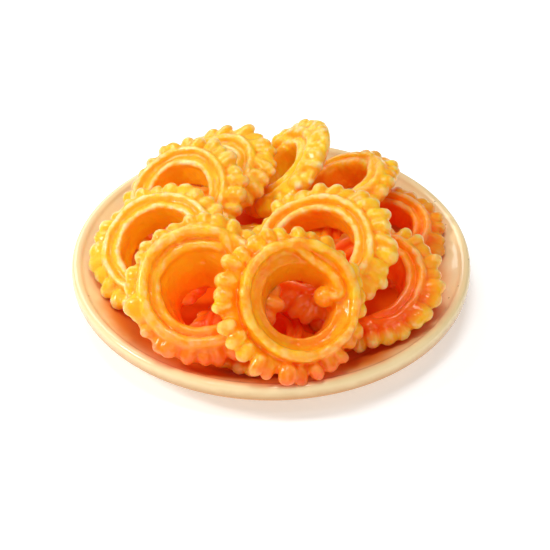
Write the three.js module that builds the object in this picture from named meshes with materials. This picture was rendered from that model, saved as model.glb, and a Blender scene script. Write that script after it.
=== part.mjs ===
// A round stoneware plate heaped with jangiri, the ring-shaped fried sweets soaked in syrup.
// Millimetres, +Z up, the plate's foot on z = 0 and its middle on the Z axis.
import * as THREE from "three";

// Plate
const PLATE_R = 100;
const RIM_TOP = 20;
const LIP_TALL = 8;
const LIP_WIDE = 3.6;
const WALL = 4;
const WELL_R = 64;
const WELL_FLOOR = 5;
const FOOT_R = 58;
const FOOT_RISE = 2;
const PLATE_STEPS = 56;

// One sweet before its own size is applied, heights from the middle of its thickness
const INNER_R = 21;
const OUTER_R = 26.4;
const STRAND = 2.5;
const CREST = 7;
const GROOVE = 1.8;
const UNDERSIDE = -5.8;
const SKIRT_TOP = 1.2;
const LOBE_R = 36.4;
const GAP_R = 32.4;
const LOBE_MID = -2.4;

// How far the piping strays: out of round as a share of the radius, the rest in millimetres
const OUT_OF_ROUND = 0.018;
const WAVE = 0.4;
const LOBE_STRAY = 0.9;

// Each sweet's middle, lean from level and compass side it faces in degrees, lobes and size
const SWEETS = [
  { name: "jangiri_front", at: [12.6, -68.4, 45.8], lean: 41, faces: -66, lobes: 28, size: 0.97 },
  { name: "jangiri_front_left", at: [-32.3, -57.4, 43.9], lean: 35, faces: -86, lobes: 28, size: 1.02 },
  { name: "jangiri_left", at: [-54.2, -11, 31], lean: 26, faces: -124, lobes: 27, size: 1.02 },
  { name: "jangiri_back_left", at: [-45.3, 29.7, 31], lean: 36, faces: -135, lobes: 27, size: 0.97 },
  { name: "jangiri_back", at: [-29.5, 55, 28.7], lean: 22, faces: -155, lobes: 27, size: 0.96 },
  { name: "jangiri_back_upright", at: [8, 55.5, 31.7], lean: 45, faces: -178, lobes: 26, size: 0.92 },
  { name: "jangiri_back_right", at: [35.5, 44.8, 27], lean: 23, faces: 157, lobes: 26, size: 0.94 },
  { name: "jangiri_top", at: [22, -24.7, 39.5], lean: 29, faces: -121, lobes: 28, size: 1.02 },
  { name: "jangiri_right", at: [54.8, 18, 16.8], lean: 11, faces: -135, lobes: 27, size: 0.97 },
  { name: "jangiri_front_right", at: [48, -32, 24.4], lean: 21, faces: -135, lobes: 27, size: 0.99 },
  { name: "jangiri_under_front", at: [-8.5, -56.2, 14.4], lean: 8, faces: 45, lobes: 24, size: 0.83 },
  { name: "jangiri_under_middle", at: [-9.2, 5.3, 11], lean: 0, faces: 0, lobes: 24, size: 0.82 },
];

const radians = THREE.MathUtils.degToRad;

function named(name, geometry, colour, roughness) {
  const mesh = new THREE.Mesh(geometry, new THREE.MeshStandardMaterial({ color: colour, roughness }));
  mesh.name = name;
  return mesh;
}

// The plate's half section from its foot, out round the lip and back along the well
function plateProfile() {
  const lipLow = RIM_TOP - LIP_TALL;
  const lipIn = PLATE_R - LIP_WIDE;
  const path = new THREE.Path();
  path.moveTo(FOOT_R, 0);
  path.quadraticCurveTo(FOOT_R + 5, FOOT_RISE, FOOT_R + 12, FOOT_RISE + 1.5);
  path.quadraticCurveTo(PLATE_R - 12, lipLow - 4, PLATE_R - 1.5, lipLow);
  path.quadraticCurveTo(PLATE_R, lipLow + 0.4, PLATE_R, lipLow + LIP_TALL / 2);
  path.quadraticCurveTo(PLATE_R, RIM_TOP, PLATE_R - LIP_WIDE / 2, RIM_TOP);
  path.quadraticCurveTo(lipIn, RIM_TOP, lipIn - 1.2, RIM_TOP - 1.6);
  path.quadraticCurveTo(PLATE_R - 14, RIM_TOP - 10 + WALL, WELL_R + 12, WELL_FLOOR + 2.2);
  path.quadraticCurveTo(WELL_R + 6, WELL_FLOOR, WELL_R, WELL_FLOOR);
  return path.getPoints(2);
}

function plate() {
  const axis = (height) => new THREE.Vector2(0, height);
  const profile = [axis(0), ...plateProfile(), axis(WELL_FLOOR)];
  const geometry = new THREE.LatheGeometry(profile, PLATE_STEPS).rotateX(Math.PI / 2);
  return named("plate", geometry, 0xf3e2bd, 0.35);
}

// A settled stray between -1 and 1 for the k-th place on a sweet
function stray(k, seed) {
  return Math.sin(12.9 * k + 78.2 * seed) * Math.cos(4.7 * k - 3.1 * seed);
}

// One round of a sweet at a radius and height: each place round the ring may set its own radius
function sweetRound(count, radiusAt, height, { size, seed }) {
  return Array.from({ length: count }, (_, s) => {
    const turn = (2 * Math.PI * s) / count;
    const oval = Math.sin(2 * turn + seed) + 0.5 * Math.cos(3 * turn - seed);
    const r = radiusAt(s) * size * (1 + OUT_OF_ROUND * oval);
    return [r * Math.cos(turn), r * Math.sin(turn), height * size + WAVE * Math.sin(2 * turn - 2 * seed)];
  });
}

// Triangles between two neighbouring rounds, given as point numbers, of equal count or one twice the other
function between(a, b) {
  if (a.length > b.length) {
    return between(b, a).map(([i, j, k]) => [i, k, j]);
  }
  return b.flatMap((here, i) => {
    const j = (i + 1) % b.length;
    const [near, next] = [i, j].map((n) => a[Math.floor((n * a.length) / b.length)]);
    const wedge = [near, b[j], here];
    return near === next ? [wedge] : [wedge, [near, next, b[j]]];
  });
}

// A closed ring whose skin runs through the rounds and from the last back to the first
function ringGeometry(rounds) {
  let count = 0;
  const numbered = rounds.map((round) => round.map(() => count++));
  const faces = numbered.flatMap((round, i) => between(round, numbered[(i + 1) % rounds.length]));
  const geometry = new THREE.BufferGeometry();
  geometry.setAttribute("position", new THREE.Float32BufferAttribute(rounds.flat(2), 3));
  geometry.setIndex(faces.flat());
  geometry.computeVertexNormals();
  return geometry;
}

// A sweet from under its lobes, up over them and both rounds of the strand, and down the hole
function sweet(piece) {
  const { name, at, lean, faces, lobes, seed } = piece;
  const plain = (radius, height) => sweetRound(lobes, () => radius, height, piece);
  const skirt = (lobeR, gapR, height) =>
    sweetRound(2 * lobes, (s) => (s % 2 === 0 ? lobeR + LOBE_STRAY * stray(s, seed) : gapR), height, piece);
  const rounds = [
    plain(GAP_R - 1.2, UNDERSIDE),
    skirt(LOBE_R, GAP_R, LOBE_MID),
    skirt(LOBE_R - 2.6, GAP_R - 1.6, SKIRT_TOP - 0.8),
    plain(OUTER_R + STRAND + 1.1, SKIRT_TOP),
    plain(OUTER_R + 0.4, CREST),
    plain((INNER_R + OUTER_R) / 2, CREST - GROOVE),
    plain(INNER_R - STRAND + 1.1, CREST - 0.4),
    plain(INNER_R - STRAND + 0.3, UNDERSIDE),
  ];
  const mesh = named(name, ringGeometry(rounds), 0xf6a21c, 0.3);
  const hinge = new THREE.Vector3(-Math.sin(radians(faces)), Math.cos(radians(faces)), 0);
  mesh.position.set(...at);
  mesh.quaternion.setFromAxisAngle(hinge, radians(lean));
  return mesh;
}

const part = new THREE.Group();
part.name = "plate_of_jangiri";
part.add(plate(), ...SWEETS.map((piece, i) => sweet({ ...piece, seed: i + 1 })));

export default part;
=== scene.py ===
import math

import bpy
import numpy
from mathutils import Matrix, Vector


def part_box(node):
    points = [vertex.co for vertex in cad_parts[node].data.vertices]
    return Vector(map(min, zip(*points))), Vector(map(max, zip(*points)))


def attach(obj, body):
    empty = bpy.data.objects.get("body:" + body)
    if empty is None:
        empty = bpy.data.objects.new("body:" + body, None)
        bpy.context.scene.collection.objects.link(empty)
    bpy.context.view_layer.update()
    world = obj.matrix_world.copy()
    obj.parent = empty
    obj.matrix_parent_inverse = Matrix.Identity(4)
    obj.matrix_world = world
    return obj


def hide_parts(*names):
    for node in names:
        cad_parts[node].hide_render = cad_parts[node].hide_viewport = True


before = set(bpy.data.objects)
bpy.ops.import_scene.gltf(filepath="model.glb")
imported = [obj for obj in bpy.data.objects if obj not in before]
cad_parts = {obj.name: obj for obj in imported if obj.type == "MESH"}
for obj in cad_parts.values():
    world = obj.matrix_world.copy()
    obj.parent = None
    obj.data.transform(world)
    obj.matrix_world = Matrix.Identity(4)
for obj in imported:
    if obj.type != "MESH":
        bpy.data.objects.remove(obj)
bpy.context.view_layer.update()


# The plate: a thrown stoneware side plate, a flat well in a low sloping wall that ends in a rounded lip.
# It was dipped in cream glaze, which covers the inside and the lip and thins to a tan line under it,
# and the clay below that line and on the foot is bare.
MM = 0.001
RIM_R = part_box("plate")[1].x / MM
RIM_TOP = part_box("plate")[1].z / MM
LIP_TALL = 8
LIP_WIDE = 4.4
WELL_R = 64
WELL_FLOOR = 5
FOOT_R = 58
FOOT_RISE = 2
# How far out of true it was thrown, how bare the lip's lower edge is, how fast the glaze thickens above it
OUT_OF_TRUE = 0.12
LIP_BARE = 0.75
LIP_BARE_FADE = 0.06
PLATE_STEPS = 240


def bend(start, corner, end, steps=8):
    """Points of a smooth bend that leaves start towards corner and arrives at end from it."""
    return [
        tuple((1 - t) ** 2 * a + 2 * t * (1 - t) * b + t * t * c for a, b, c in zip(start, corner, end))
        for t in (k / steps for k in range(1, steps + 1))
    ]


def linear(code):
    """An sRGB hex colour as the linear red, green, blue and alpha that a shader takes."""
    channels = [int(code[k:k + 2], 16) / 255 for k in (1, 3, 5)]
    return (*[c / 12.92 if c <= 0.04045 else ((c + 0.055) / 1.055) ** 2.4 for c in channels], 1.0)


def fit(tree, kind, feeds=None, out=0, **settings):
    """Adds a node with its settings, links or sets its inputs, and gives back one of its outputs."""
    node = tree.nodes.new(kind)
    for name, value in settings.items():
        setattr(node, name, value)
    for socket, value in (feeds or {}).items():
        for one in value if isinstance(value, list) else [value]:
            if isinstance(one, bpy.types.NodeSocket):
                tree.links.new(one, node.inputs[socket])
            else:
                node.inputs[socket].default_value = one
    return node.outputs[out] if node.outputs else None


# The half section as turned on the wheel: from the middle of the foot out, round the lip and back in
lip_low = RIM_TOP - LIP_TALL
lip_in = RIM_R - LIP_WIDE
foot_edge = (FOOT_R, 0)
foot_top = (FOOT_R + 12, FOOT_RISE + 1.5)
lip_foot = (RIM_R - 1.5, lip_low)
lip_side = (RIM_R, lip_low + LIP_TALL / 2)
lip_crown = (RIM_R - LIP_WIDE / 2, RIM_TOP)
lip_back = (lip_in - 1.2, RIM_TOP - 1.6)
wall_foot = (WELL_R + 12, WELL_FLOOR + 2.2)
well_edge = (WELL_R, WELL_FLOOR)
under_side = [(FOOT_R * k / 4, 0) for k in range(1, 5)]
under_side += bend(foot_edge, (FOOT_R + 5, FOOT_RISE), foot_top)
under_side += bend(foot_top, (RIM_R - 12, lip_low - 4), lip_foot, 14)
lip = bend(lip_foot, (RIM_R, lip_low + 0.4), lip_side)
lip += bend(lip_side, (RIM_R, RIM_TOP), lip_crown)
lip += bend(lip_crown, (lip_in, RIM_TOP), lip_back)
inside = bend(lip_back, (RIM_R - 14, RIM_TOP - 6), wall_foot, 14)
inside += bend(wall_foot, (WELL_R + 6, WELL_FLOOR), well_edge)
inside += [(WELL_R * k / 6, WELL_FLOOR) for k in range(5, 0, -1)]
rounds = under_side + lip + inside
bare_rounds = len(under_side)

points = [Vector((0, 0, 0))]
bare = [1.0]
for k, (r, z) in enumerate(rounds):
    for s in range(PLATE_STEPS):
        turn = math.tau * s / PLATE_STEPS
        warp = (r / RIM_R) ** 4 * (math.sin(2 * turn + 0.6) + 0.6 * math.sin(5 * turn + 2.1))
        lifted = z + OUT_OF_TRUE * warp if z > WELL_FLOOR else z
        points.append(Vector((r * math.cos(turn), r * math.sin(turn), lifted)) * MM)
        bare.append(1.0 if k < bare_rounds else max(0.0, LIP_BARE - LIP_BARE_FADE * (k - bare_rounds)))
points.append(Vector((0, 0, WELL_FLOOR * MM)))
bare.append(0.0)
faces = []
for s in range(PLATE_STEPS):
    n = (s + 1) % PLATE_STEPS
    faces.append((0, 1 + n, 1 + s))
    for k in range(len(rounds) - 1):
        a, b = 1 + k * PLATE_STEPS, 1 + (k + 1) * PLATE_STEPS
        faces.append((a + s, a + n, b + n, b + s))
    last = 1 + (len(rounds) - 1) * PLATE_STEPS
    faces.append((last + s, last + n, len(points) - 1))
plate_mesh = bpy.data.meshes.new("plate_thrown")
plate_mesh.from_pydata(points, [], faces)
plate_mesh.attributes.new("bare_clay", "FLOAT", "POINT").data.foreach_set("value", bare)
plate_mesh.shade_smooth()

# Cream glaze on stoneware: glassy and smooth, so it mirrors the sweets softly, with a warm cloudy depth,
# a few iron specks, an orange syrup stain round the heap that is partly painted bounce light from the
# sweets, a darker band close to the heap that is painted shade, and a toasted edge where it thins against
# the rough matt clay. The stain and the painted shade are measured from a middle nearer the viewer: where
# each starts and is full.
STAIN_AND_SHADE_SHIFT = (1 * MM, 10 * MM, 0)
STAIN_AND_BOUNCE_START, STAIN_AND_BOUNCE_FULL = 99 * MM, 84 * MM
SHADE_NEAR_HEAP_START, SHADE_NEAR_HEAP_FULL = 97 * MM, 81 * MM
STAIN_AND_SHADE_RAGGED = 14 * MM
glaze = bpy.data.materials.new("cream_glaze_on_stoneware")
glaze.use_nodes = True
tree = glaze.node_tree
tree.nodes.clear()
where = fit(tree, "ShaderNodeTexCoord", out=3)
cloud = fit(tree, "ShaderNodeTexNoise", {"Vector": where, "Scale": 1 / (22 * MM), "Detail": 3.0})
cream = fit(tree, "ShaderNodeMix", {0: cloud, 6: linear("#F8E0B0"), 7: linear("#F1D49A")},
            out=2, data_type="RGBA")
speck = fit(tree, "ShaderNodeTexVoronoi", {"Vector": where, "Scale": 1 / (9 * MM), "Randomness": 1.0})
speck = fit(tree, "ShaderNodeMapRange", {0: speck, 1: 0.035, 2: 0.06, 3: 0.75, 4: 0.0})
cream = fit(tree, "ShaderNodeMix", {0: speck, 6: cream, 7: linear("#8C6B3C")}, out=2, data_type="RGBA")
flat = fit(tree, "ShaderNodeVectorMath", {0: where, 1: (1, 1, 0), 2: STAIN_AND_SHADE_SHIFT},
           operation="MULTIPLY_ADD")
out_to = fit(tree, "ShaderNodeVectorMath", {0: flat}, out=1, operation="LENGTH")
out_to = fit(tree, "ShaderNodeMath", {0: cloud, 1: STAIN_AND_SHADE_RAGGED, 2: out_to}, operation="MULTIPLY_ADD")
# Orange round the heap: partly a syrup stain, partly painted bounce light that the sweets throw on the glaze
stain_and_bounce = fit(tree, "ShaderNodeMapRange", {0: out_to, 1: STAIN_AND_BOUNCE_START, 2: STAIN_AND_BOUNCE_FULL, 4: 0.92},
            interpolation_type="SMOOTHSTEP")
cream = fit(tree, "ShaderNodeMix", {0: stain_and_bounce, 6: cream, 7: linear("#F09C38")}, out=2, data_type="RGBA")
# Painted shade: a darker brown band on the glaze close to the heap, where the sweets shade it
painted_deep_shade = fit(tree, "ShaderNodeMapRange", {0: out_to, 1: SHADE_NEAR_HEAP_START, 2: SHADE_NEAR_HEAP_FULL, 4: 0.9},
           interpolation_type="SMOOTHSTEP")
cream = fit(tree, "ShaderNodeMix", {0: painted_deep_shade, 6: cream, 7: linear("#DC7426")}, out=2, data_type="RGBA")
edge = fit(tree, "ShaderNodeAttribute", out=2, attribute_name="bare_clay")
ragged = fit(tree, "ShaderNodeTexNoise", {"Vector": where, "Scale": 1 / (7 * MM), "Detail": 2.0})
edge = fit(tree, "ShaderNodeMath", {0: ragged, 1: 0.14, 2: edge}, operation="MULTIPLY_ADD")
toast = fit(tree, "ShaderNodeMapRange", {0: edge, 1: 0.2, 2: 0.62}, interpolation_type="SMOOTHSTEP")
colour = fit(tree, "ShaderNodeMix", {0: toast, 6: cream, 7: linear("#C8935A")}, out=2, data_type="RGBA")
clay = fit(tree, "ShaderNodeMapRange", {0: edge, 1: 0.78, 2: 0.98})
# The grit is drawn coarser than in real clay, so that it shows
grit = fit(tree, "ShaderNodeTexNoise", {"Vector": where, "Scale": 1 / (1.2 * MM), "Detail": 4.0})
body_clay = fit(tree, "ShaderNodeMix", {0: grit, 6: linear("#D9BC8E"), 7: linear("#B8905C")},
                out=2, data_type="RGBA")
colour = fit(tree, "ShaderNodeMix", {0: clay, 6: colour, 7: body_clay}, out=2, data_type="RGBA")
rough = fit(tree, "ShaderNodeMapRange", {0: edge, 1: 0.55, 2: 0.95, 3: 0.14, 4: 0.75})
ripple = fit(tree, "ShaderNodeTexNoise", {"Vector": where, "Scale": 1 / (14 * MM), "Detail": 1.0})
relief = fit(tree, "ShaderNodeMath", {0: grit, 1: clay}, operation="MULTIPLY")
relief = fit(tree, "ShaderNodeMath", {0: relief, 1: 0.25, 2: ripple}, operation="MULTIPLY_ADD")
relief = fit(tree, "ShaderNodeBump", {"Height": relief, "Strength": 0.5, "Distance": 0.5 * MM})
finish = fit(tree, "ShaderNodeBsdfPrincipled",
             {"Base Color": colour, "Roughness": rough, "Normal": relief, "IOR": 1.5})
fit(tree, "ShaderNodeOutputMaterial", {"Surface": finish})

plate = bpy.data.objects.new("plate_dish", plate_mesh)
plate_mesh.materials.append(glaze)
bpy.context.scene.collection.objects.link(plate)
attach(plate, "root")
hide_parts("plate")


# The syrup: what drains off the sweets lies level in the well under the heap, a shallow pool of sugar
# syrup tinted deep orange by the food; its deep orange is partly painted shade for the depths under the
# heap.
POOL_LEVEL = 5.8
POOL_R = 69.5
POOL_FLOOR = WELL_FLOOR + 0.05
SHORE_WIDE = 0.5
SHORE_DROP = 0.2
SHORE_STEPS = 120
pool_rounds = [(POOL_R * k / 10, POOL_LEVEL) for k in range(1, 10)]
pool_rounds += [(POOL_R - SHORE_WIDE, POOL_LEVEL), (POOL_R, POOL_LEVEL - SHORE_DROP), (WELL_R, POOL_FLOOR)]
pool_points = [Vector((0, 0, POOL_LEVEL)) * MM]
for r, z in pool_rounds:
    for s in range(SHORE_STEPS):
        turn = math.tau * s / SHORE_STEPS
        pool_points.append(Vector((r * math.cos(turn), r * math.sin(turn), z)) * MM)
pool_points.append(Vector((0, 0, POOL_FLOOR)) * MM)
pool_faces = []
for s in range(SHORE_STEPS):
    n = (s + 1) % SHORE_STEPS
    pool_faces.append((0, 1 + s, 1 + n))
    for k in range(len(pool_rounds) - 1):
        a, b = 1 + k * SHORE_STEPS, 1 + (k + 1) * SHORE_STEPS
        pool_faces.append((a + s, b + s, b + n, a + n))
    last = 1 + (len(pool_rounds) - 1) * SHORE_STEPS
    pool_faces.append((last + s, len(pool_points) - 1, last + n))
pool_mesh = bpy.data.meshes.new("syrup_pool_and_shade")
pool_mesh.from_pydata(pool_points, [], pool_faces)
pool_mesh.shade_smooth()

# Sugar syrup: sticky and tinted by the food, so a thin layer over cream glaze looks a cloudy deep orange,
# with a soft wet gloss broken by slow swells. The deep orange is partly painted shade for the dark under the
# heap.
pool_finish = bpy.data.materials.new("orange_syrup_and_shade")
pool_finish.use_nodes = True
tree = pool_finish.node_tree
tree.nodes.clear()
where = fit(tree, "ShaderNodeTexCoord", out=3)
depth = fit(tree, "ShaderNodeTexNoise", {"Vector": where, "Scale": 1 / (30 * MM), "Detail": 2.0})
depth = fit(tree, "ShaderNodeMapRange", {0: depth, 1: 0.35, 2: 0.65})
colour = fit(tree, "ShaderNodeMix", {0: depth, 6: linear("#FF8018"), 7: linear("#FF620A")},
             out=2, data_type="RGBA")
swell = fit(tree, "ShaderNodeTexNoise", {"Vector": where, "Scale": 1 / (9 * MM), "Detail": 2.0})
swell = fit(tree, "ShaderNodeBump", {"Height": swell, "Strength": 0.6, "Distance": 1.2 * MM})
finish = fit(tree, "ShaderNodeBsdfPrincipled",
             {"Base Color": colour, "Roughness": 0.28, "Normal": swell, "IOR": 1.48,
              "Specular IOR Level": 0.25, "Specular Tint": linear("#FF9A40")})
fit(tree, "ShaderNodeOutputMaterial", {"Surface": finish})
pool_mesh.materials.append(pool_finish)
pool = bpy.data.objects.new("syrup_pool_and_shade", pool_mesh)
bpy.context.scene.collection.objects.link(pool)
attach(pool, "root")


# The jangiri: lentil batter piped into hot fat in two rounds of one strand, then looped round outside
# in a skirt of beads, which swell and fuse as they fry. Each is soaked in warm sugar syrup and heaped
# on the plate, so it leans on its neighbours. The tree works in millimetres and degrees.
piping = bpy.data.node_groups.new("piped_jangiri", "GeometryNodeTree")
inputs = {}
for name, kind, value in (
    ("Lobes", "NodeSocketInt", 27),
    ("Seed", "NodeSocketInt", 1),
    ("Size", "NodeSocketFloat", 1.0),
    ("Seam", "NodeSocketFloat", 0.0),
    ("Turns", "NodeSocketFloat", 2.08),
    ("Step at", "NodeSocketFloat", 1.04),
    ("Hand", "NodeSocketFloat", 1.0),
    ("Hook", "NodeSocketFloat", 0.0),
    ("Knob", "NodeSocketFloat", 0.0),
    ("End girth", "NodeSocketFloat", 0.6),
    ("Inner round", "NodeSocketFloat", 20.9),
    ("Outer round", "NodeSocketFloat", 26.6),
    ("Strand width", "NodeSocketFloat", 4.3),
    ("Strand height", "NodeSocketFloat", 13.8),
    ("Inner drop", "NodeSocketFloat", 0.6),
    ("Web top", "NodeSocketFloat", 4.4),
    ("Web slope", "NodeSocketFloat", 0.0),
    ("Hole depth", "NodeSocketFloat", 12.0),
    ("Hole taper", "NodeSocketFloat", 2.0),
    ("Hole lean", "NodeSocketVector", (0, 0, 0)),
    ("Skirt round", "NodeSocketFloat", 29.6),
    ("Skirt shift", "NodeSocketVector", (0, 0, 0)),
    ("Bead reach", "NodeSocketFloat", 37.2),
    ("Bead length", "NodeSocketFloat", 12.5),
    ("Bead depth", "NodeSocketFloat", 7.2),
    ("Bead skew", "NodeSocketFloat", 10.0),
    # Painted light: how much paler and yellower the piece is painted where the light falls on it most
    ("Pale", "NodeSocketFloat", 0.0),
    ("Soak", "NodeSocketFloat", 0.0),
    ("Lobe soak", "NodeSocketFloat", 0.45),
    ("Grain", "NodeSocketFloat", 0.66),
    ("Batter", "NodeSocketMaterial", None),
):
    inputs[name] = piping.interface.new_socket(name, in_out="INPUT", socket_type=kind)
    if value is not None:
        inputs[name].default_value = value
piping.interface.new_socket("Geometry", in_out="OUTPUT", socket_type="NodeSocketGeometry")
given = piping.nodes.new("NodeGroupInput").outputs

# The strand's path: two rounds with a step outwards half way, wandering a little in and out, up and down,
# and a start that may hook into the hole. The step and the hook are so many rounds long, and the hook
# swings and dips by so much for each millimetre that it reaches in.
STEP_HALF = 0.06
HOOK_LONG = 0.1
HOOK_SWING = 0.05
HOOK_DIP = -0.2
WANDER_OUT = 3.0
WANDER_UP = 2.6
OUTER_RISE = 0.3
SEEDS_APART = 3.71
drift = fit(piping, "ShaderNodeMath", {0: given["Seed"], 1: SEEDS_APART}, operation="MULTIPLY")
straight = fit(piping, "GeometryNodeCurvePrimitiveLine", {"End": (1, 0, 0)})
straight = fit(piping, "GeometryNodeResampleCurve", {"Curve": straight, "Count": 300})
along = fit(piping, "GeometryNodeSplineParameter")
turn = fit(piping, "ShaderNodeMath", {0: along, 1: given["Turns"]}, operation="MULTIPLY")
angle = fit(piping, "ShaderNodeMath", {0: given["Hand"], 1: math.tau}, operation="MULTIPLY")
seam = fit(piping, "ShaderNodeMath", {0: given["Seam"]}, operation="RADIANS")
angle = fit(piping, "ShaderNodeMath", {0: turn, 1: angle, 2: seam}, operation="MULTIPLY_ADD")
hook = fit(piping, "ShaderNodeMapRange", {0: turn, 1: 0.0, 2: HOOK_LONG, 3: given["Hook"], 4: 0.0},
           interpolation_type="SMOOTHSTEP")
angle = fit(piping, "ShaderNodeMath", {0: hook, 1: HOOK_SWING, 2: angle}, operation="MULTIPLY_ADD")
cosine = fit(piping, "ShaderNodeMath", {0: angle}, operation="COSINE")
sine = fit(piping, "ShaderNodeMath", {0: angle}, operation="SINE")
step_from = fit(piping, "ShaderNodeMath", {0: given["Step at"], 1: STEP_HALF}, operation="SUBTRACT")
step_to = fit(piping, "ShaderNodeMath", {0: given["Step at"], 1: STEP_HALF}, operation="ADD")
radius = fit(piping, "ShaderNodeMapRange",
             {0: turn, 1: step_from, 2: step_to, 3: given["Inner round"], 4: given["Outer round"]},
             interpolation_type="SMOOTHSTEP")
spot = fit(piping, "ShaderNodeCombineXYZ", {0: cosine, 1: sine, 2: turn})
wander = fit(piping, "ShaderNodeTexNoise", {"Vector": spot, "W": drift, "Scale": 1.2, "Detail": 2.0},
             out=1, noise_dimensions="4D")
wander = fit(piping, "ShaderNodeVectorMath", {0: wander, 1: (0.5, 0.5, 0.5)}, operation="SUBTRACT")
stray = fit(piping, "ShaderNodeSeparateXYZ", {0: wander}).node.outputs
radius = fit(piping, "ShaderNodeMath", {0: stray[0], 1: WANDER_OUT, 2: radius}, operation="MULTIPLY_ADD")
radius = fit(piping, "ShaderNodeMath", {0: radius, 1: hook}, operation="SUBTRACT")
sunk = fit(piping, "ShaderNodeMath", {0: given["Inner drop"], 1: -1.0}, operation="MULTIPLY")
sunk = fit(piping, "ShaderNodeMapRange", {0: turn, 1: step_from, 2: step_to, 3: sunk, 4: OUTER_RISE},
           interpolation_type="SMOOTHSTEP")
height = fit(piping, "ShaderNodeMath", {0: stray[1], 1: WANDER_UP, 2: sunk}, operation="MULTIPLY_ADD")
height = fit(piping, "ShaderNodeMath", {0: hook, 1: HOOK_DIP, 2: height}, operation="MULTIPLY_ADD")
place_x = fit(piping, "ShaderNodeMath", {0: cosine, 1: radius}, operation="MULTIPLY")
place_y = fit(piping, "ShaderNodeMath", {0: sine, 1: radius}, operation="MULTIPLY")
place = fit(piping, "ShaderNodeCombineXYZ", {0: place_x, 1: place_y, 2: height})
path = fit(piping, "GeometryNodeSetPosition", {"Geometry": straight, "Position": place})
path = fit(piping, "GeometryNodeSetCurveNormal", {"Curve": path}, mode="Z_UP")

# The strand itself: a tall round-topped section that swells and thins, and tapers where it was cut off
LAST_GIRTH = 0.6
SWELL_AND_THIN = 0.3
first_end = fit(piping, "ShaderNodeMapRange", {0: along, 1: 0.0, 2: 0.035, 3: given["End girth"], 4: 1.0},
                interpolation_type="SMOOTHSTEP")
last_end = fit(piping, "ShaderNodeMapRange", {0: along, 1: 1.0, 2: 0.98, 3: LAST_GIRTH, 4: 1.0},
               interpolation_type="SMOOTHSTEP")
ends = fit(piping, "ShaderNodeMath", {0: first_end, 1: last_end}, operation="MULTIPLY")
girth = fit(piping, "ShaderNodeMath", {0: stray[2], 1: SWELL_AND_THIN, 2: 1.0}, operation="MULTIPLY_ADD")
girth = fit(piping, "ShaderNodeMath", {0: girth, 1: ends}, operation="MULTIPLY")
nozzle = fit(piping, "GeometryNodeCurvePrimitiveQuadrilateral",
             {"Width": given["Strand width"], "Height": given["Strand height"]})
round_top = fit(piping, "ShaderNodeMath", {0: given["Strand width"], 1: 0.49}, operation="MULTIPLY")
corner = fit(piping, "GeometryNodeInputPosition")
corner = fit(piping, "ShaderNodeSeparateXYZ", {0: corner}, out=1)
rounding = fit(piping, "ShaderNodeMapRange", {0: corner, 1: -1.0, 2: 1.0, 3: round_top, 4: 1.0})
nozzle = fit(piping, "GeometryNodeFilletCurve", {"Curve": nozzle, "Count": 6, "Radius": rounding},
             mode="POLY")
strand = fit(piping, "GeometryNodeCurveToMesh",
             {"Curve": path, "Profile Curve": nozzle, "Scale": girth, "Fill Caps": True})

# The knob: batter that gathers in a drop where a curled strand was started
KNOB_SHIFT = (1.0, 2.6, 1.5)
knob = fit(piping, "GeometryNodeMeshIcoSphere", {"Radius": given["Knob"], "Subdivisions": 4})
knob_at = fit(piping, "GeometryNodeSampleCurve", {"Curves": path, "Factor": 0.0}, out=1)
knob_at = fit(piping, "ShaderNodeVectorMath", {0: knob_at, 1: KNOB_SHIFT}, operation="ADD")
knob = fit(piping, "GeometryNodeSetPosition", {"Geometry": knob, "Offset": knob_at})
dropped = fit(piping, "FunctionNodeCompare", {0: given["Knob"], 1: 0.1}, operation="GREATER_THAN")
knob = fit(piping, "GeometryNodeSwitch", {"Switch": dropped, "True": knob}, input_type="GEOMETRY")

# The web: the batter that runs together between the two rounds, below their crests
WEB_HALF = 2.6
WEB_FLOOR = 6
between = fit(piping, "ShaderNodeMath", {0: given["Inner round"], 1: given["Outer round"]}, operation="ADD")
between = fit(piping, "ShaderNodeMath", {0: between, 1: 0.5}, operation="MULTIPLY")
hoop = fit(piping, "GeometryNodeCurvePrimitiveCircle", {"Resolution": 96, "Radius": between})
hoop = fit(piping, "GeometryNodeSetCurveNormal", {"Curve": hoop}, mode="Z_UP")
outer_top = fit(piping, "ShaderNodeMath", {0: given["Web top"], 1: given["Web slope"]}, operation="ADD")
outer_top = fit(piping, "ShaderNodeMath", {0: outer_top, 1: -1.0}, operation="MULTIPLY")
inner_top = fit(piping, "ShaderNodeMath", {0: given["Web slope"], 1: given["Web top"]}, operation="SUBTRACT")
strip = fit(piping, "GeometryNodeCurvePrimitiveQuadrilateral", {
    "Point 1": fit(piping, "ShaderNodeCombineXYZ", {0: WEB_HALF, 1: outer_top}),
    "Point 2": fit(piping, "ShaderNodeCombineXYZ", {0: -WEB_HALF, 1: inner_top}),
    "Point 3": (-WEB_HALF, WEB_FLOOR, 0),
    "Point 4": (WEB_HALF, WEB_FLOOR, 0),
}, mode="POINTS")
web = fit(piping, "GeometryNodeCurveToMesh", {"Curve": hoop, "Profile Curve": strip})

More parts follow.
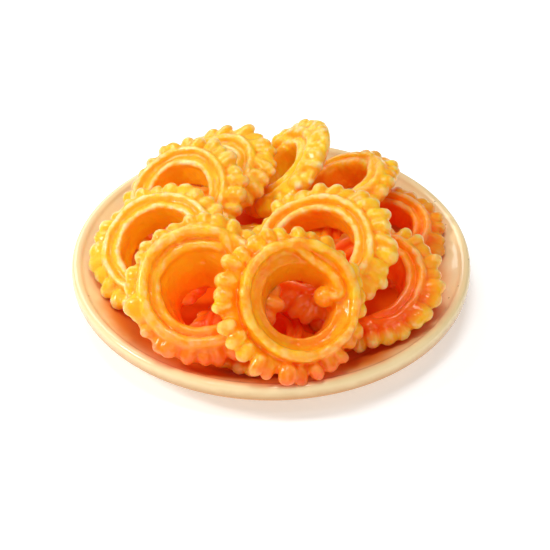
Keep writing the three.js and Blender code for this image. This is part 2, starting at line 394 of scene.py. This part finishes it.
# The skirt: the apron of batter that slopes from the outer round down to the beads, thicker here and there
SKIRT_SECTION = (4.4, 3.5, 1.0)
SKIRT_DROP = (0, 0, -1.3)
SKIRT_THIN, SKIRT_THICK = 0.84, 1.12
hoop = fit(piping, "GeometryNodeCurvePrimitiveCircle", {"Resolution": 96, "Radius": given["Skirt round"]})
hoop = fit(piping, "GeometryNodeSetCurveNormal", {"Curve": hoop}, mode="Z_UP")
cord = fit(piping, "GeometryNodeCurvePrimitiveCircle", {"Resolution": 24, "Radius": 1.0})
cord = fit(piping, "GeometryNodeTransform", {"Geometry": cord, "Scale": SKIRT_SECTION})
hoop_at = fit(piping, "GeometryNodeInputPosition")
run = fit(piping, "ShaderNodeTexNoise", {"Vector": hoop_at, "W": drift, "Scale": 1 / 26, "Detail": 1.0},
          noise_dimensions="4D")
run = fit(piping, "ShaderNodeMapRange", {0: run, 1: 0.3, 2: 0.7, 3: SKIRT_THIN, 4: SKIRT_THICK})
skirt = fit(piping, "GeometryNodeCurveToMesh", {"Curve": hoop, "Profile Curve": cord, "Scale": run})
skirt = fit(piping, "GeometryNodeTransform", {"Geometry": skirt, "Translation": SKIRT_DROP})

# The hole's wall: the first layer of batter, which hangs below the inner round and closes in downwards,
# smooth inside and ridged outside by the rounds it was piped in
LINING_THICK = 3.6
LINING_TOP = 3.6
LINING_SET_BACK = 2.1
LINING_SAG = 2.4
RIDGE_TALL = 2.2
RIDGE_PITCH = 4.6
wall_r = fit(piping, "ShaderNodeMath", {0: given["Strand width"], 1: -0.5, 2: given["Inner round"]},
             operation="MULTIPLY_ADD")
wall_r = fit(piping, "ShaderNodeMath", {0: wall_r, 1: LINING_SET_BACK}, operation="ADD")
hoop = fit(piping, "GeometryNodeCurvePrimitiveCircle", {"Resolution": 96, "Radius": wall_r})
sag = fit(piping, "ShaderNodeTexNoise", {"Vector": hoop_at, "W": drift, "Scale": 1 / 24, "Detail": 1.0},
          out=1, noise_dimensions="4D")
sag = fit(piping, "ShaderNodeVectorMath", {0: sag, 1: (0.5, 0.5, 0.5)}, operation="SUBTRACT")
sag = fit(piping, "ShaderNodeVectorMath", {0: sag, 3: LINING_SAG}, operation="SCALE")
hoop = fit(piping, "GeometryNodeSetPosition", {"Geometry": hoop, "Offset": sag})
hoop = fit(piping, "GeometryNodeSetCurveNormal", {"Curve": hoop}, mode="Z_UP")
slant = fit(piping, "ShaderNodeMath", {0: given["Hole taper"], 1: -1.0}, operation="MULTIPLY")
strip = fit(piping, "GeometryNodeCurvePrimitiveQuadrilateral",
            {"Height": given["Hole depth"], "Bottom Width": LINING_THICK, "Top Width": LINING_THICK,
             "Offset": slant}, mode="TRAPEZOID")
strip = fit(piping, "GeometryNodeResampleCurve", {"Curve": strip, "Count": 60})
lining = fit(piping, "GeometryNodeCurveToMesh", {"Curve": hoop, "Profile Curve": strip})
wall_z = fit(piping, "ShaderNodeSeparateXYZ", {0: hoop_at}, out=2)
ridge = fit(piping, "ShaderNodeMath", {0: wall_z, 1: math.pi / RIDGE_PITCH}, operation="MULTIPLY")
ridge = fit(piping, "ShaderNodeMath", {0: ridge}, operation="SINE")
ridge = fit(piping, "ShaderNodeMath", {0: ridge}, operation="ABSOLUTE")
ridge = fit(piping, "ShaderNodeMath", {0: ridge, 1: RIDGE_TALL}, operation="MULTIPLY")
bulge = fit(piping, "ShaderNodeVectorMath", {0: hoop_at, 1: (1, 1, 0)}, operation="MULTIPLY")
bulge = fit(piping, "ShaderNodeVectorMath", {0: bulge}, operation="NORMALIZE")
skin = fit(piping, "GeometryNodeInputNormal")
outside = fit(piping, "ShaderNodeVectorMath", {0: skin, 1: bulge}, out=1, operation="DOT_PRODUCT")
outside = fit(piping, "FunctionNodeCompare", {0: outside, 1: 0.3}, operation="GREATER_THAN")
bulge = fit(piping, "ShaderNodeVectorMath", {0: bulge, 3: ridge}, operation="SCALE")
lining = fit(piping, "GeometryNodeSetPosition", {"Geometry": lining, "Selection": outside, "Offset": bulge})
rim_z = fit(piping, "ShaderNodeMath", {0: given["Hole depth"], 1: 0.5}, operation="MULTIPLY")
foot_z = fit(piping, "ShaderNodeMath", {0: given["Hole depth"], 1: -0.5}, operation="MULTIPLY")
sunk = fit(piping, "ShaderNodeMapRange", {0: wall_z, 1: rim_z, 2: foot_z})
lean_by = fit(piping, "ShaderNodeVectorMath", {0: given["Hole lean"], 3: sunk}, operation="SCALE")
lining = fit(piping, "GeometryNodeSetPosition", {"Geometry": lining, "Offset": lean_by})
below = fit(piping, "ShaderNodeMath", {0: given["Hole depth"], 1: -0.5, 2: LINING_TOP},
            operation="MULTIPLY_ADD")
below = fit(piping, "ShaderNodeMath", {0: below, 1: given["Inner drop"]}, operation="SUBTRACT")
below = fit(piping, "ShaderNodeCombineXYZ", {2: below})
lining = fit(piping, "GeometryNodeTransform", {"Geometry": lining, "Translation": below})

# The beads: one blob for each loop of the nozzle, each its own length, width, place and droop
BEAD_NUDGE = 0.22
BEAD_STRAY = 1.1
BEAD_RISE = 0.6
BEAD_ROUND = 37
BEAD_LEAST, BEAD_MOST = (0.84, 0.78, 0.8), (1.1, 1.18, 1.2)
DROOP_LEAST, DROOP_MOST = math.radians(8), math.radians(30)
SWING_MOST = math.radians(16)
BLUNT = 0.22
index = fit(piping, "GeometryNodeInputIndex")
loose = fit(piping, "FunctionNodeRandomValue", {0: (-1, -1, -1), 1: (1, 1, 1), 7: index, 8: given["Seed"]},
            data_type="FLOAT_VECTOR")
loose = fit(piping, "ShaderNodeSeparateXYZ", {0: loose}).node.outputs
nudge = fit(piping, "ShaderNodeMath", {0: loose[0], 1: BEAD_NUDGE, 2: index}, operation="MULTIPLY_ADD")
share = fit(piping, "ShaderNodeMath", {0: nudge, 1: given["Lobes"]}, operation="DIVIDE")
round_to = fit(piping, "ShaderNodeMath", {0: share, 1: math.tau}, operation="MULTIPLY")
half_long = fit(piping, "ShaderNodeMath", {0: given["Bead length"], 1: 0.5}, operation="MULTIPLY")
out_to = fit(piping, "ShaderNodeMath", {0: given["Bead reach"], 1: half_long}, operation="SUBTRACT")
out_to = fit(piping, "ShaderNodeMath", {0: loose[1], 1: BEAD_STRAY, 2: out_to}, operation="MULTIPLY_ADD")
bead_x = fit(piping, "ShaderNodeMath", {0: round_to}, operation="COSINE")
bead_y = fit(piping, "ShaderNodeMath", {0: round_to}, operation="SINE")
bead_x = fit(piping, "ShaderNodeMath", {0: bead_x, 1: out_to}, operation="MULTIPLY")
bead_y = fit(piping, "ShaderNodeMath", {0: bead_y, 1: out_to}, operation="MULTIPLY")
bead_z = fit(piping, "ShaderNodeMath", {0: loose[2], 1: BEAD_STRAY, 2: BEAD_RISE}, operation="MULTIPLY_ADD")
bead_at = fit(piping, "ShaderNodeCombineXYZ", {0: bead_x, 1: bead_y, 2: bead_z})
drops = fit(piping, "GeometryNodePoints", {"Count": given["Lobes"], "Position": bead_at})
other_seed = fit(piping, "ShaderNodeMath", {0: given["Seed"], 1: 40.0}, operation="ADD")
swell = fit(piping, "FunctionNodeRandomValue",
            {0: BEAD_LEAST, 1: BEAD_MOST, 7: index, 8: other_seed}, data_type="FLOAT_VECTOR")
half_wide = fit(piping, "ShaderNodeMath", {0: math.pi * BEAD_ROUND, 1: given["Lobes"]}, operation="DIVIDE")
half_deep = fit(piping, "ShaderNodeMath", {0: given["Bead depth"], 1: 0.5}, operation="MULTIPLY")
bead_size = fit(piping, "ShaderNodeCombineXYZ", {0: half_long, 1: half_wide, 2: half_deep})
bead_size = fit(piping, "ShaderNodeVectorMath", {0: bead_size, 1: swell}, operation="MULTIPLY")
third_seed = fit(piping, "ShaderNodeMath", {0: given["Seed"], 1: 80.0}, operation="ADD")
tilt = fit(piping, "FunctionNodeRandomValue",
           {0: (0, DROOP_LEAST, -SWING_MOST), 1: (0, DROOP_MOST, SWING_MOST), 7: index, 8: third_seed},
           data_type="FLOAT_VECTOR")
skew = fit(piping, "ShaderNodeMath", {0: given["Bead skew"]}, operation="RADIANS")
facing = fit(piping, "ShaderNodeMath", {0: round_to, 1: skew}, operation="ADD")
facing = fit(piping, "ShaderNodeCombineXYZ", {2: facing})
tilt = fit(piping, "ShaderNodeVectorMath", {0: tilt, 1: facing}, operation="ADD")
tilt = fit(piping, "FunctionNodeEulerToRotation", {0: tilt})
blob = fit(piping, "GeometryNodeMeshIcoSphere", {"Radius": 1.0, "Subdivisions": 4})
blob_at = fit(piping, "GeometryNodeInputPosition")
blob_x = fit(piping, "ShaderNodeSeparateXYZ", {0: blob_at})
blunt = fit(piping, "ShaderNodeMapRange", {0: blob_x, 1: -0.25, 2: 0.25, 3: -BLUNT, 4: BLUNT})
blunt = fit(piping, "ShaderNodeMath", {0: blob_x, 1: -BLUNT, 2: blunt}, operation="MULTIPLY_ADD")
blunt = fit(piping, "ShaderNodeCombineXYZ", {0: blunt})
blob = fit(piping, "GeometryNodeSetPosition", {"Geometry": blob, "Offset": blunt})
beads = fit(piping, "GeometryNodeInstanceOnPoints",
            {"Points": drops, "Instance": blob, "Rotation": tilt, "Scale": bead_size})
beads = fit(piping, "GeometryNodeRealizeInstances", {"Geometry": beads})
fringe = fit(piping, "GeometryNodeJoinGeometry", {0: [skirt, beads]})
fringe = fit(piping, "GeometryNodeTransform", {"Geometry": fringe, "Translation": given["Skirt shift"]})

# Frying: strand, skirt and beads swell into one skin, loose crumbs float off, and the skin is softened
# where the pieces meet and a little blistered
CRUMB_FACES = 500
BLISTER = 1.8
batter = fit(piping, "GeometryNodeJoinGeometry", {0: [strand, knob, web, lining, fringe]})
batter = fit(piping, "GeometryNodeMeshToVolume",
             {"Mesh": batter, "Voxel Size": given["Grain"], "Interior Band Width": 2.0},
             resolution_mode="VOXEL_SIZE")
crust = fit(piping, "GeometryNodeVolumeToMesh", {"Volume": batter, "Threshold": 0.1})
crumb = fit(piping, "GeometryNodeInputMeshIsland")
crumb = fit(piping, "GeometryNodeAccumulateField", {"Value": 1.0, "Group ID": crumb}, out=2, domain="FACE")
crumb = fit(piping, "FunctionNodeCompare", {0: crumb, 1: CRUMB_FACES}, operation="LESS_THAN")
crust = fit(piping, "GeometryNodeDeleteGeometry", {"Geometry": crust, "Selection": crumb}, domain="FACE")
crust_at = fit(piping, "GeometryNodeInputPosition")
soft = fit(piping, "GeometryNodeBlurAttribute", {"Value": crust_at, "Iterations": 2},
           data_type="FLOAT_VECTOR")
crust = fit(piping, "GeometryNodeSetPosition", {"Geometry": crust, "Position": soft})
blister = fit(piping, "ShaderNodeTexNoise",
              {"Vector": crust_at, "W": drift, "Scale": 1 / 6, "Detail": 3.0}, noise_dimensions="4D")
blister = fit(piping, "ShaderNodeMath", {0: blister, 1: BLISTER, 2: -BLISTER / 2}, operation="MULTIPLY_ADD")
outwards = fit(piping, "GeometryNodeInputNormal")
blister = fit(piping, "ShaderNodeVectorMath", {0: outwards, 3: blister}, operation="SCALE")
crust = fit(piping, "GeometryNodeSetPosition", {"Geometry": crust, "Offset": blister})

# What the crust remembers for its colour: its place on the sweet, how deep it lies in a crease, its soaking
# and painted shade, and how much painted light it gets
wide = fit(piping, "GeometryNodeBlurAttribute", {"Value": crust_at, "Iterations": 16},
           data_type="FLOAT_VECTOR")
crease = fit(piping, "ShaderNodeVectorMath", {0: wide, 1: crust_at}, operation="SUBTRACT")
crease = fit(piping, "ShaderNodeVectorMath", {0: crease, 1: outwards}, out=1, operation="DOT_PRODUCT")
for name, value, kind in (
    ("crease", crease, "FLOAT"),
    ("piped_at", crust_at, "FLOAT_VECTOR"),
    ("soak", given["Soak"], "FLOAT"),
    ("lobe_soak", given["Lobe soak"], "FLOAT"),
    ("pale", given["Pale"], "FLOAT"),
):
    crust = fit(piping, "GeometryNodeStoreNamedAttribute",
                {"Geometry": crust, "Name": name, "Value": value}, data_type=kind)
to_metres = fit(piping, "ShaderNodeMath", {0: given["Size"], 1: MM}, operation="MULTIPLY")
crust = fit(piping, "GeometryNodeTransform", {"Geometry": crust, "Scale": to_metres})
crust = fit(piping, "GeometryNodeSetShadeSmooth", {"Geometry": crust})
crust = fit(piping, "GeometryNodeRealizeInstances", {"Geometry": crust})
crust = fit(piping, "GeometryNodeSetMaterial", {"Geometry": crust, "Material": given["Batter"]})
fit(piping, "NodeGroupOutput", {0: crust})

# Fried batter in syrup: a thin crisp skin, slightly see-through, under a wet coat with pale glints. Much
# of its colour is painted light and shade: pale gold on the crests is a painted highlight, orange in the
# creases and down the hole is painted shade, deep orange low in the heap and under the holes is partly
# syrup soak and partly painted shade, the shaded heart of the heap is painted brighter as painted light,
# and the pieces the light falls on most are painted paler.
# Heights on the ring are in the tree's millimetres, heights in the heap in metres from the table.
HOLE_R, HOLE_FULL_R = 24.0, 20.0
LOBES_FROM, LOBES_FULL = 30.0, 35.0
SOAK_SHADE_TOP, SOAK_SHADE_FULL = 46 * MM, 10 * MM
SOAK_SHADE_STRONG = 1.6
HEART_SHIFT = (6 * MM, -26 * MM, 0)
HEART_R, HEART_FULL_R = 46 * MM, 22 * MM
HEART_TOP, HEART_FULL = 40 * MM, 22 * MM
syrup = bpy.data.materials.new("fried_batter_in_syrup")
syrup.use_nodes = True
tree = syrup.node_tree
tree.nodes.clear()
where = fit(tree, "ShaderNodeTexCoord", out=3)
heap_z = fit(tree, "ShaderNodeSeparateXYZ", {0: where}, out=2)
piped_at = fit(tree, "ShaderNodeAttribute", out=1, attribute_name="piped_at")
ring_z = fit(tree, "ShaderNodeSeparateXYZ", {0: piped_at}, out=2)
flat = fit(tree, "ShaderNodeVectorMath", {0: piped_at, 1: (1, 1, 0)}, operation="MULTIPLY")
ring_r = fit(tree, "ShaderNodeVectorMath", {0: flat}, out=1, operation="LENGTH")
crease = fit(tree, "ShaderNodeAttribute", out=2, attribute_name="crease")
soak = fit(tree, "ShaderNodeAttribute", out=2, attribute_name="soak")
drip = fit(tree, "ShaderNodeAttribute", out=2, attribute_name="drip")
pale = fit(tree, "ShaderNodeAttribute", out=2, attribute_name="pale")
patch = fit(tree, "ShaderNodeTexNoise", {"Vector": where, "Scale": 1 / (7 * MM), "Detail": 4.0})
patch = fit(tree, "ShaderNodeMapRange", {0: patch, 1: 0.35, 2: 0.65})
colour = fit(tree, "ShaderNodeMix", {0: patch, 6: linear("#FFC01E"), 7: linear("#FF9804")},
             out=2, data_type="RGBA")
# Painted light: the pieces the light falls on most are painted paler and yellower, and so are their tints
# below
colour = fit(tree, "ShaderNodeMix", {0: pale, 6: colour, 7: linear("#FFC632")}, out=2, data_type="RGBA")
# Painted highlight: the crests are painted a pale cream for the sheen of the syrup on them
painted_crest_sheen = fit(tree, "ShaderNodeMapRange", {0: crease, 1: -0.2, 2: -0.65, 4: 0.9},
            interpolation_type="SMOOTHSTEP")
tint = fit(tree, "ShaderNodeMix", {0: pale, 6: linear("#F5CE74"), 7: linear("#F4DEB0")},
           out=2, data_type="RGBA")
colour = fit(tree, "ShaderNodeMix", {0: painted_crest_sheen, 6: colour, 7: tint}, out=2, data_type="RGBA")
# Painted shade: the creases are painted orange for the shade that gathers in them
painted_crease_shade = fit(tree, "ShaderNodeMapRange", {0: crease, 1: 0.0, 2: 0.7}, interpolation_type="SMOOTHSTEP")
tint = fit(tree, "ShaderNodeMix", {0: pale, 6: linear("#FF8A06"), 7: linear("#FAB01A")},
           out=2, data_type="RGBA")
colour = fit(tree, "ShaderNodeMix", {0: painted_crease_shade, 6: colour, 7: tint}, out=2, data_type="RGBA")
# Painted shade: the hole's wall is painted orange below the inner round, for the shade down the hole
wall = fit(tree, "ShaderNodeMapRange", {0: ring_r, 1: HOLE_R, 2: HOLE_FULL_R},
           interpolation_type="SMOOTHSTEP")
painted_hole_shade = fit(tree, "ShaderNodeMapRange", {0: ring_z, 1: 5.0, 2: 0.0, 4: 0.9}, interpolation_type="SMOOTHSTEP")
painted_hole_shade = fit(tree, "ShaderNodeMath", {0: painted_hole_shade, 1: wall}, operation="MULTIPLY")
tint = fit(tree, "ShaderNodeMix", {0: pale, 6: linear("#FF8E0C"), 7: linear("#FFD420")},
           out=2, data_type="RGBA")
colour = fit(tree, "ShaderNodeMix", {0: painted_hole_shade, 6: colour, 7: tint}, out=2, data_type="RGBA")
# Painted shade: deeper down the hole the wall is painted a deep red orange
painted_deep_shade = fit(tree, "ShaderNodeMapRange", {0: ring_z, 1: -3.0, 2: -12.0, 4: 0.85},
           interpolation_type="SMOOTHSTEP")
painted_deep_shade = fit(tree, "ShaderNodeMath", {0: painted_deep_shade, 1: wall}, operation="MULTIPLY")
tint = fit(tree, "ShaderNodeMix", {0: pale, 6: linear("#FF6A08"), 7: linear("#FFC814")},
           out=2, data_type="RGBA")
colour = fit(tree, "ShaderNodeMix", {0: painted_deep_shade, 6: colour, 7: tint}, out=2, data_type="RGBA")
# Partly syrup soak, partly painted shade: the lower in the heap the deeper orange, less on the beads than on
# the ring, and at least as deep as under a hole
low = fit(tree, "ShaderNodeMapRange", {0: heap_z, 1: SOAK_SHADE_TOP, 2: SOAK_SHADE_FULL},
          interpolation_type="SMOOTHSTEP")
soaked_and_shaded = fit(tree, "ShaderNodeMath", {0: low, 1: SOAK_SHADE_STRONG, 2: soak},
             operation="MULTIPLY_ADD", use_clamp=True)
# Painted light: the shaded heart of the heap is painted a brighter yellow, standing in for light carried
# through the batter there
painted_heart_glow = fit(tree, "ShaderNodeVectorMath", {0: where, 1: (1, 1, 0), 2: HEART_SHIFT},
            operation="MULTIPLY_ADD")
painted_heart_glow = fit(tree, "ShaderNodeVectorMath", {0: painted_heart_glow}, out=1, operation="LENGTH")
painted_heart_glow = fit(tree, "ShaderNodeMapRange", {0: painted_heart_glow, 1: HEART_R, 2: HEART_FULL_R},
            interpolation_type="SMOOTHSTEP")
sunk = fit(tree, "ShaderNodeMapRange", {0: heap_z, 1: HEART_TOP, 2: HEART_FULL},
           interpolation_type="SMOOTHSTEP")
painted_heart_glow = fit(tree, "ShaderNodeMath", {0: painted_heart_glow, 1: sunk}, operation="MULTIPLY")
fringe = fit(tree, "ShaderNodeAttribute", out=2, attribute_name="lobe_soak")
fringe = fit(tree, "ShaderNodeMapRange", {0: ring_r, 1: LOBES_FROM, 2: LOBES_FULL, 3: 1.0, 4: fringe})
soaked_and_shaded = fit(tree, "ShaderNodeMath", {0: soaked_and_shaded, 1: fringe}, operation="MULTIPLY")
soaked_and_shaded = fit(tree, "ShaderNodeMath", {0: soaked_and_shaded, 1: drip}, operation="MAXIMUM")
colour = fit(tree, "ShaderNodeMix", {0: soaked_and_shaded, 6: colour, 7: linear("#FF6410")}, out=2, data_type="RGBA")
colour = fit(tree, "ShaderNodeMix", {0: painted_heart_glow, 6: colour, 7: linear("#FFC020")}, out=2, data_type="RGBA")
film = fit(tree, "ShaderNodeTexNoise", {"Vector": where, "Scale": 1 / (5 * MM), "Detail": 2.0})
rough = fit(tree, "ShaderNodeMapRange", {0: film, 1: 0.3, 2: 0.7, 3: 0.3, 4: 0.46})
# The pores are drawn a little coarser than real ones, so that they show
pores = fit(tree, "ShaderNodeTexNoise", {"Vector": where, "Scale": 1 / (1.6 * MM), "Detail": 3.0})
pores = fit(tree, "ShaderNodeBump", {"Height": pores, "Strength": 0.5, "Distance": 0.4 * MM})
finish = fit(tree, "ShaderNodeBsdfPrincipled",
             {"Base Color": colour, "Roughness": rough, "Normal": pores, "IOR": 1.45,
              "Specular IOR Level": 0.4, "Specular Tint": linear("#FFD080"), "Subsurface Weight": 1.0,
              "Subsurface Radius": (1.0, 0.2, 0.04), "Subsurface Scale": 10 * MM,
              "Coat Weight": 0.6, "Coat Roughness": 0.14, "Coat IOR": 1.45})
fit(tree, "ShaderNodeOutputMaterial", {"Surface": finish})

# Each sweet's middle, lean from level and the compass side it faces, as on the CAD model, then how its
# piping, its soak and painted shade and its painted light differ from the usual
sweets = []
for number, (name, at, lean, faces_to, piped) in enumerate((
    ("jangiri_front", (12.6, -68.4, 45.8), 41, -66,
     {"Lobes": 28, "Size": 0.97, "Seam": -14, "Turns": 1.36, "Step at": 0.3, "Hook": 8.0, "Knob": 5.4,
      "End girth": 0.9, "Inner round": 20.4, "Outer round": 27.0, "Strand width": 5.2, "Inner drop": 2.6,
      "Web top": 3.0, "Web slope": 2.0, "Hole depth": 11, "Hole taper": 4.0, "Hole lean": (2, -3, 0),
      "Skirt shift": (-3.4, -2.0, -0.8), "Bead reach": 38.4, "Bead length": 11.0,
      "Soak": -0.2, "Lobe soak": 1.1}),
    ("jangiri_front_left", (-32.3, -57.4, 43.9), 35, -86,
     {"Lobes": 28, "Size": 1.02, "Seam": 40, "Strand width": 5.6, "Inner drop": 3.4, "Web top": 2.4,
      "Hole depth": 17, "Hole taper": 7.5, "Hole lean": (2.6, -6.5, 0), "Skirt shift": (1.2, -0.6, 0),
      "Bead reach": 36.4, "Bead length": 11.6, "Pale": 0.45, "Lobe soak": 1.0}),
    ("jangiri_left", (-54.2, -11, 31), 26, -124,
     {"Lobes": 27, "Size": 1.02, "Seam": 230, "Strand width": 3.7, "Web top": 4.8, "Hole depth": 14,
      "Pale": 0.9, "Soak": -2.0}),
    ("jangiri_back_left", (-45.3, 29.7, 31), 36, -135,
     {"Lobes": 27, "Size": 0.97, "Seam": 200, "Inner round": 19.4, "Strand width": 3.8, "Web top": 4.8,
      "Hole depth": 13, "Hole taper": 5.0, "Pale": 0.62, "Soak": -2.0}),
    ("jangiri_back", (-29.5, 55, 28.7), 22, -155,
     {"Lobes": 27, "Size": 0.96, "Seam": 300, "Inner round": 15.5, "Outer round": 23, "Strand width": 5.0,
      "Bead reach": 37, "Bead length": 17, "Bead skew": -18, "Pale": 0.7, "Soak": -1.6}),
    ("jangiri_back_upright", (8, 55.5, 31.7), 45, -178,
     {"Lobes": 26, "Size": 0.92, "Seam": 60, "Inner round": 16, "Outer round": 23.6, "Strand width": 6.0,
      "Hole taper": 1.0, "Skirt shift": (0, 0, 1.4), "Bead reach": 34.6, "Pale": 0.85, "Soak": -1.4}),
    ("jangiri_back_right", (35.5, 44.8, 27), 23, 157,
     {"Lobes": 26, "Size": 0.94, "Seam": 10, "Strand width": 6.0, "Inner drop": 0.8, "Web top": 5.4,
      "Hole depth": 13, "Bead reach": 35.8, "Pale": 0.3, "Soak": -0.8}),
    ("jangiri_top", (22, -24.7, 39.5), 29, -121,
     {"Lobes": 28, "Size": 1.02, "Seam": 186, "Turns": 1.8, "Step at": 0.9, "Hand": -1, "Strand width": 4.1,
      "Inner drop": 0.2, "Hole depth": 13, "Skirt shift": (2.4, 0, 0), "Bead length": 14, "Bead skew": -20,
      "Pale": 0.45, "Soak": -0.05}),
    ("jangiri_right", (54.8, 18, 16.8), 11, -135,
     {"Lobes": 27, "Size": 0.97, "Seam": 120, "Hole taper": 3.0, "Pale": 0.3, "Soak": -0.4}),
    ("jangiri_front_right", (48, -32, 24.4), 21, -135,
     {"Lobes": 27, "Size": 0.99, "Seam": 250, "Inner drop": 0.8, "Hole taper": 8.0, "Pale": 0.3, "Soak": 0.2,
      "Lobe soak": 0.12}),
    ("jangiri_under_front", (-8.5, -56.2, 14.4), 8, 45,
     {"Lobes": 24, "Size": 0.83, "Seam": 90, "Strand width": 4.6, "Grain": 0.85}),
    ("jangiri_under_middle", (-9.2, 5.3, 11), 0, 0,
     {"Lobes": 24, "Size": 0.82, "Seam": 180, "Strand width": 4.6, "Hole depth": 10, "Bead reach": 36.6,
      "Grain": 0.85}),
), start=1):
    blank = bpy.data.objects.new("batter_" + name, bpy.data.meshes.new("batter_" + name))
    bpy.context.scene.collection.objects.link(blank)
    fryer = blank.modifiers.new("piped_jangiri", "NODES")
    fryer.node_group = piping
    for setting, value in (piped | {"Seed": number, "Batter": syrup}).items():
        is_float = isinstance(inputs[setting].default_value, float)
        fryer[inputs[setting].identifier] = float(value) if is_float else value
    fried_mesh = bpy.data.meshes.new_from_object(blank.evaluated_get(bpy.context.evaluated_depsgraph_get()))
    hinge = Vector((-math.sin(math.radians(faces_to)), math.cos(math.radians(faces_to)), 0))
    rests = Matrix.Translation(Vector(at) * MM) @ Matrix.Rotation(math.radians(lean), 4, hinge)
    fried_mesh.transform(rests)
    blank.modifiers.clear()
    blank.data = fried_mesh
    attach(blank, "root")
    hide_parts(name)
    sweets.append((blank, rests, lean))

# What lies below each hole is painted deeper orange, partly for syrup that drips through it and partly as
# painted shade under the hole, unless the sweet stands too steeply:
# the reach from the hole's middle and how it fades out, how far below it starts and how soon it is full
STANDING = 43
DRIP_SHADE_R = 25
DRIP_SHADE_FADE = 7
DRIP_SHADE_BELOW = 2
DRIP_SHADE_FALL = 8
DRIP_SHADE_MOST = 0.8
for under, _, _ in sweets:
    spots = numpy.empty(len(under.data.vertices) * 3)
    under.data.vertices.foreach_get("co", spots)
    spots = spots.reshape(-1, 3) / MM
    drip = numpy.zeros(len(spots))
    for over, over_place, over_lean in sweets:
        if over is not under and over_lean < STANDING:
            out_of = numpy.array(over_place.inverted().to_3x3())
            seen = (spots - numpy.array(over_place.translation) / MM) @ out_of.T
            near = numpy.clip((DRIP_SHADE_R - numpy.hypot(seen[:, 0], seen[:, 1])) / DRIP_SHADE_FADE, 0, 1)
            low = numpy.clip((-DRIP_SHADE_BELOW - seen[:, 2]) / DRIP_SHADE_FALL, 0, 1)
            drip = numpy.maximum(drip, DRIP_SHADE_MOST * near * low)
    under.data.attributes.new("drip", "FLOAT", "POINT").data.foreach_set("value", drip)


# The stand for the picture: a sheet of white paper for a floor, soft boxes all round with the strongest
# above and at the left, one small lamp for glints in the syrup, and a camera above the plate's front edge.
PAPER = 3
floor_mesh = bpy.data.meshes.new("floor")
floor_mesh.from_pydata([(-PAPER, -PAPER, 0), (PAPER, -PAPER, 0), (PAPER, PAPER, 0), (-PAPER, PAPER, 0)],
                       [], [(0, 1, 2, 3)])
floor = bpy.data.objects.new("floor", floor_mesh)
bpy.context.scene.collection.objects.link(floor)

# White paper: matt and nearly even, with a faint cloud of fibre and a little glow that keeps it bright.
paper = bpy.data.materials.new("white_paper")
paper.use_nodes = True
tree = paper.node_tree
tree.nodes.clear()
where = fit(tree, "ShaderNodeTexCoord", out=3)
fibre = fit(tree, "ShaderNodeTexNoise", {"Vector": where, "Scale": 1 / (120 * MM)})
white = fit(tree, "ShaderNodeMix", {0: fibre, 6: linear("#FAFAFA"), 7: linear("#F6F6F7")},
            out=2, data_type="RGBA")
finish = fit(tree, "ShaderNodeBsdfPrincipled",
             {"Base Color": white, "Roughness": 0.9, "Specular IOR Level": 0.1,
              "Emission Color": linear("#FFFFFF"), "Emission Strength": 0.3})
fit(tree, "ShaderNodeOutputMaterial", {"Surface": finish})
floor_mesh.materials.append(paper)

sky = bpy.data.worlds.new("studio")
bpy.context.scene.world = sky
sky.use_nodes = True
sky.node_tree.nodes["Background"].inputs["Color"].default_value = (1.0, 0.98, 0.96, 1)
sky.node_tree.nodes["Background"].inputs["Strength"].default_value = 0.15

# Each lamp's place and width in metres and its power in watts, all turned to the middle of the plate's rim
middle = Vector((0, 0, RIM_TOP * MM))
for name, spot, width, power in (
    ("softbox_top", (0.0, 0.0, 1.05), 0.4, 4.3),
    ("softbox_left", (-0.75, -0.10, 0.60), 0.22, 4.4),
    ("softbox_right", (0.75, -0.20, 0.60), 0.5, 1.0),
    ("softbox_front", (0.05, -0.90, 0.36), 0.7, 2.4),
    ("softbox_back", (-0.35, 0.75, 0.65), 0.5, 3.0),
    ("lamp_for_glints", (-0.35, -0.45, 0.85), 0.04, 0.5),
):
    lamp = bpy.data.lights.new(name, "AREA")
    lamp.shape = "SQUARE"
    lamp.size = width
    lamp.energy = power
    stand = bpy.data.objects.new(name, lamp)
    stand.location = spot
    stand.rotation_euler = (middle - stand.location).to_track_quat("-Z", "Y").to_euler()
    bpy.context.scene.collection.objects.link(stand)

# The camera's height above level and distance, and in picture points its width, focal length and aim
RAISED = math.radians(38.3)
AWAY = 0.75
PICTURE = 550
FOCAL = 1492
AIM_X, AIM_Y = 271, 252
SENSOR = 36
lens = bpy.data.cameras.new("camera")
lens.sensor_width = SENSOR
lens.lens = SENSOR * FOCAL / PICTURE
lens.shift_x = (PICTURE / 2 - AIM_X) / PICTURE
lens.shift_y = -(PICTURE / 2 - AIM_Y) / PICTURE
camera = bpy.data.objects.new("camera", lens)
camera.location = middle + Vector((0, -math.cos(RAISED), math.sin(RAISED))) * AWAY
camera.rotation_euler = (middle - camera.location).to_track_quat("-Z", "Y").to_euler()
bpy.context.scene.collection.objects.link(camera)
bpy.context.scene.camera = camera
bpy.context.scene.view_settings.view_transform = "Standard"
bpy.context.scene.cycles.diffuse_bounces = 16
bpy.context.scene.cycles.max_bounces = 20
